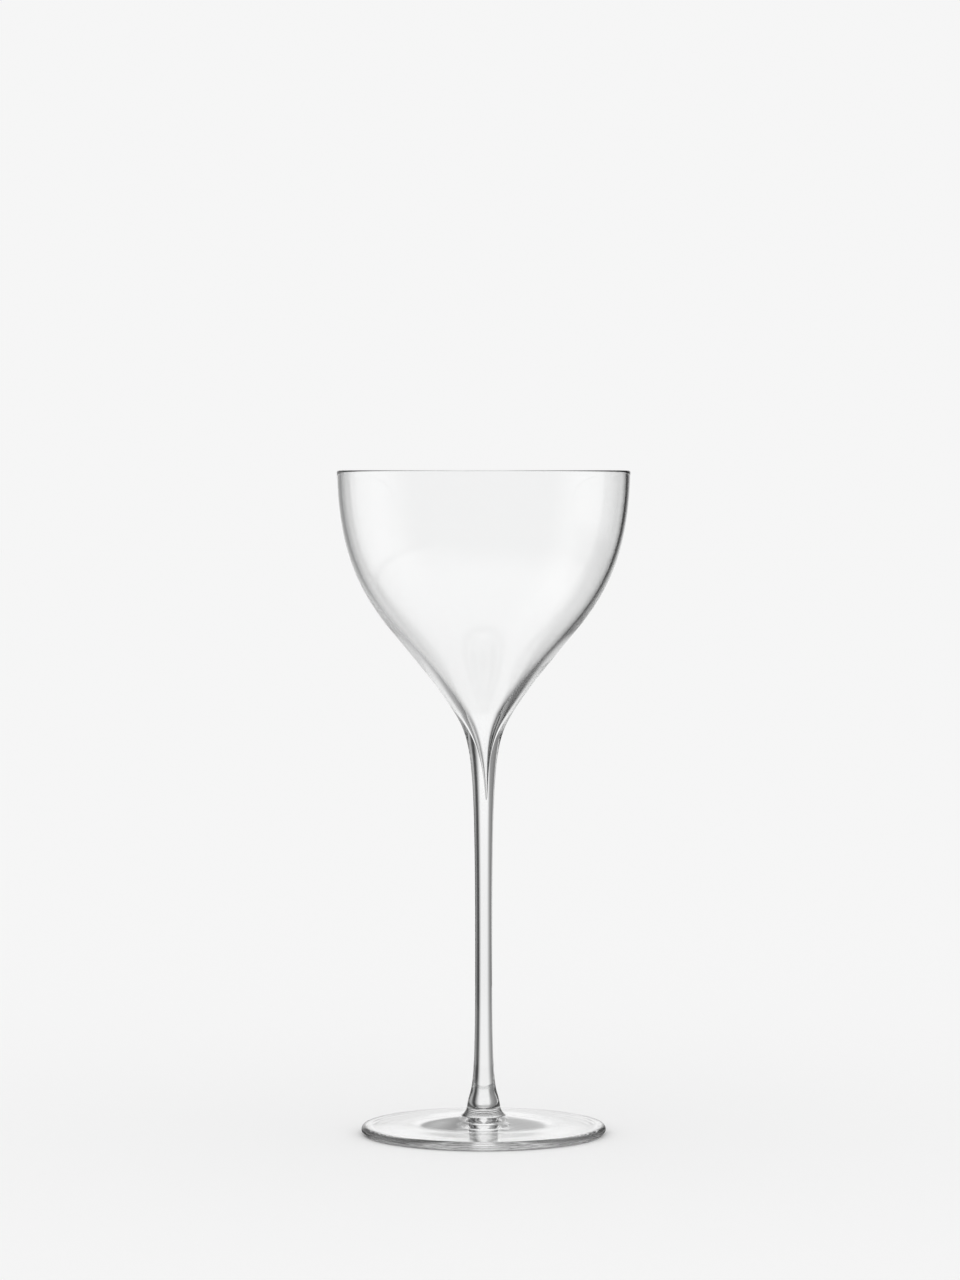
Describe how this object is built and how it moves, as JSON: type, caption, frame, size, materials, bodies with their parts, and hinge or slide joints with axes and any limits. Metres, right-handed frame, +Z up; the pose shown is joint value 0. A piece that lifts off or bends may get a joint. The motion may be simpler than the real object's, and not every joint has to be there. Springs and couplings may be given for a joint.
{
  "type": "nick and nora glass",
  "caption": "Stemmed cocktail glass: a deep thin-walled bowl drawn down into a fine tear inside the neck, on a slender solid stem and a round, shallow, hollowed foot.",
  "frame": {"origin": "middle of the ring under the foot, on the surface that the glass stands on", "axes": "+Z up along the glass's axis of revolution, X and Y level and interchangeable"},
  "size_m": [0.0732, 0.0732, 0.1657],
  "materials": {
    "clear_glass": "clear, colourless and fire-polished"
  },
  "bodies": {
    "root": {"bowl": "clear_glass", "stem": "clear_glass", "foot": "clear_glass"}
  },
  "joints": []
}
